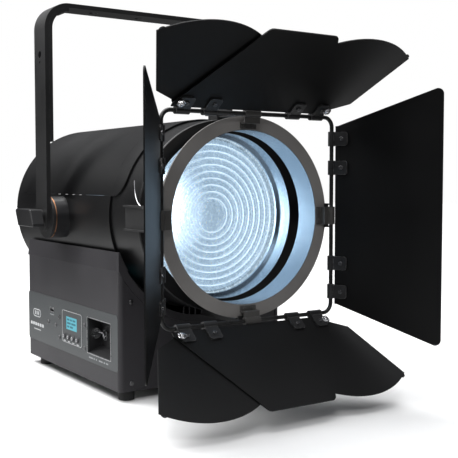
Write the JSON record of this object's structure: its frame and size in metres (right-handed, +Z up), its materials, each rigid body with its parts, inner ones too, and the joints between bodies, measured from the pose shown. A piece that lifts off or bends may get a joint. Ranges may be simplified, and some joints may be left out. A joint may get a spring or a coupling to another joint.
{
  "type": "led fresnel spotlight",
  "caption": "Studio Fresnel spotlight: round black lamp housing on a boxy base, wide yoke with a locking handle, and rotating barn doors with folding corner wings.",
  "frame": {"origin": "on the standing surface, in the middle of the four feet", "axes": "+Z up; -Y out of the lens; -X towards the control panel side"},
  "size_m": [0.3902, 0.5952, 0.51],
  "materials": {
    "black_powder": "matte black powder coat",
    "black_steel": "matte powder coat",
    "leaf_black": "matte heat-proof paint",
    "zinc_steel": "satin black oxide",
    "screw_black": "satin",
    "rubber": "matte",
    "lens_glass": "clear",
    "steel_bright": "satin",
    "motor_black": "satin",
    "supply_grey": "satin",
    "sheet_aluminium": "satin",
    "copper": "satin",
    "led_light": "gloss",
    "reflector": "polished",
    "fan_plastic": "matte",
    "board_green": "satin",
    "panel_black": "satin",
    "screen_cyan": "gloss",
    "key_grey": "matte",
    "socket_metal": "satin",
    "boss_black": "satin black",
    "knob_black": "satin"
  },
  "bodies": {
    "housing": {"base_shell": "black_powder", "base_bottom_plate": "black_powder", "base_front_plate": "black_powder", "base_feet": "rubber", "chassis_screws": "screw_black", "cradle": "black_powder", "lower_housing": "black_powder", "top_cover": "black_powder", "front_hood": "black_powder", "nose_barrel": "black_powder", "rear_cover": "black_powder", "fresnel_lens": "lens_glass", "lens_retainer": "zinc_steel", "accessory_brackets": "black_steel", "zoom_frame": "steel_bright", "zoom_motor": "motor_black", "power_supply": "supply_grey", "circuit_boards": "board_green", "control_panel": "panel_black", "panel_screws": "screw_black", "display_bezel": "panel_black", "display_screen": "screen_cyan", "usb_port": "socket_metal", "connector_pocket": "panel_black", "power_sockets": "socket_metal", "pivot_bosses": "boss_black"},
    "latch": {"accessory_latch": "black_steel"},
    "carriage": {"led_carriage": "sheet_aluminium", "heat_spreader": "copper", "led_module": "led_light", "collimator": "reflector", "heat_sink": "sheet_aluminium", "heat_pipes": "copper", "fan_frame": "fan_plastic"},
    "fan": {"fan_rotor": "fan_plastic"},
    "screw": {"lead_screw": "steel_bright"},
    "yoke_arm": {"yoke": "black_steel", "yoke_stiffeners": "black_steel", "friction_washers": "copper", "pivot_bolt": "steel_bright"},
    "lock": {"tilt_lock_handle": "knob_black"},
    "ring": {"barn_ring": "black_steel", "barn_frame_rod": "zinc_steel", "ring_clips": "black_steel"},
    "door_top": {"leaf_top": "leaf_black", "knuckles_top": "black_steel"},
    "door_right": {"leaf_right": "leaf_black", "knuckles_right": "black_steel"},
    "door_bottom": {"leaf_bottom": "leaf_black", "knuckles_bottom": "black_steel"},
    "door_left": {"leaf_left": "leaf_black", "knuckles_left": "black_steel"},
    "flap_top_a": {"wing_top_a": "leaf_black"},
    "flap_top_b": {"wing_top_b": "leaf_black"},
    "flap_bottom_a": {"wing_bottom_a": "leaf_black"},
    "flap_bottom_b": {"wing_bottom_b": "leaf_black"},
    "key_1": {"button_1": "key_grey"},
    "key_2": {"button_2": "key_grey"},
    "key_3": {"button_3": "key_grey"},
    "key_4": {"button_4": "key_grey"}
  },
  "joints": [
    {"name": "yoke_tilt", "type": "hinge", "parent": "housing", "child": "yoke_arm", "pos_m": [0, 0.032, 0.222], "axis": [1, 0, 0], "range_deg": [-180, 55]},
    {"name": "tilt_lock", "type": "hinge", "parent": "housing", "child": "lock", "pos_m": [0, 0.032, 0.222], "axis": [-1, 0, 0], "range_deg": [0, 180]},
    {"name": "ring_turn", "type": "hinge", "parent": "housing", "child": "ring", "pos_m": [0, -0.251, 0.228], "axis": [0, -1, 0], "continuous": true},
    {"name": "latch_lift", "type": "hinge", "parent": "housing", "child": "latch", "pos_m": [0, -0.179, 0.3522], "axis": [-1, 0, 0], "range_deg": [0, 10], "stiffness_Nm_per_rad": 0.4, "springref_deg": -5.73},
    {"name": "zoom_travel", "type": "slide", "parent": "housing", "child": "carriage", "axis": [0, 1, 0], "range_m": [-0.045, 0.045]},
    {"name": "lead_screw_turn", "type": "hinge", "parent": "housing", "child": "screw", "pos_m": [0.0301, 0.032, 0.14531], "axis": [0, 1, 0], "range_deg": [-2100, 2100]},
    {"name": "fan_spin", "type": "hinge", "parent": "carriage", "child": "fan", "pos_m": [0, 0.052, 0.228], "axis": [0, 1, 0], "continuous": true},
    {"name": "leaf_top_swing", "type": "hinge", "parent": "ring", "child": "door_top", "pos_m": [0, -0.251, 0.3505], "axis": [1, 0, 0], "range_deg": [-61, 20]},
    {"name": "wing_top_a_fold", "type": "hinge", "parent": "door_top", "child": "flap_top_a", "pos_m": [0.104, -0.26199, 0.35918], "axis": [0, -0.6198, -0.7848], "range_deg": [-5, 55]},
    {"name": "wing_top_b_fold", "type": "hinge", "parent": "door_top", "child": "flap_top_b", "pos_m": [-0.104, -0.26199, 0.35918], "axis": [0, 0.6198, 0.7848], "range_deg": [-5, 55]},
    {"name": "leaf_right_swing", "type": "hinge", "parent": "ring", "child": "door_right", "pos_m": [0.1225, -0.251, 0.228], "axis": [0, 0, 1], "range_deg": [-79, 75]},
    {"name": "leaf_bottom_swing", "type": "hinge", "parent": "ring", "child": "door_bottom", "pos_m": [0, -0.251, 0.1055], "axis": [-1, 0, 0], "range_deg": [-61, 20]},
    {"name": "wing_bottom_a_fold", "type": "hinge", "parent": "door_bottom", "child": "flap_bottom_a", "pos_m": [-0.104, -0.26196, 0.09678], "axis": [0, -0.6225, 0.7826], "range_deg": [-5, 55]},
    {"name": "wing_bottom_b_fold", "type": "hinge", "parent": "door_bottom", "child": "flap_bottom_b", "pos_m": [0.104, -0.26196, 0.09678], "axis": [0, 0.6225, -0.7826], "range_deg": [-5, 55]},
    {"name": "leaf_left_swing", "type": "hinge", "parent": "ring", "child": "door_left", "pos_m": [-0.1225, -0.251, 0.228], "axis": [0, 0, -1], "range_deg": [-90, 64]},
    {"name": "button_1_press", "type": "slide", "parent": "housing", "child": "key_1", "axis": [1, 0, 0], "range_m": [0, 0.0015], "stiffness_N_per_m": 500, "springref_m": -0.0005},
    {"name": "button_2_press", "type": "slide", "parent": "housing", "child": "key_2", "axis": [1, 0, 0], "range_m": [0, 0.0015], "stiffness_N_per_m": 500, "springref_m": -0.0005},
    {"name": "button_3_press", "type": "slide", "parent": "housing", "child": "key_3", "axis": [1, 0, 0], "range_m": [0, 0.0015], "stiffness_N_per_m": 500, "springref_m": -0.0005},
    {"name": "button_4_press", "type": "slide", "parent": "housing", "child": "key_4", "axis": [1, 0, 0], "range_m": [0, 0.0015], "stiffness_N_per_m": 500, "springref_m": -0.0005}
  ],
  "couplings": [
    {"joint": "lead_screw_turn", "follows": "zoom_travel", "rad_per_m": 785.4}
  ]
}
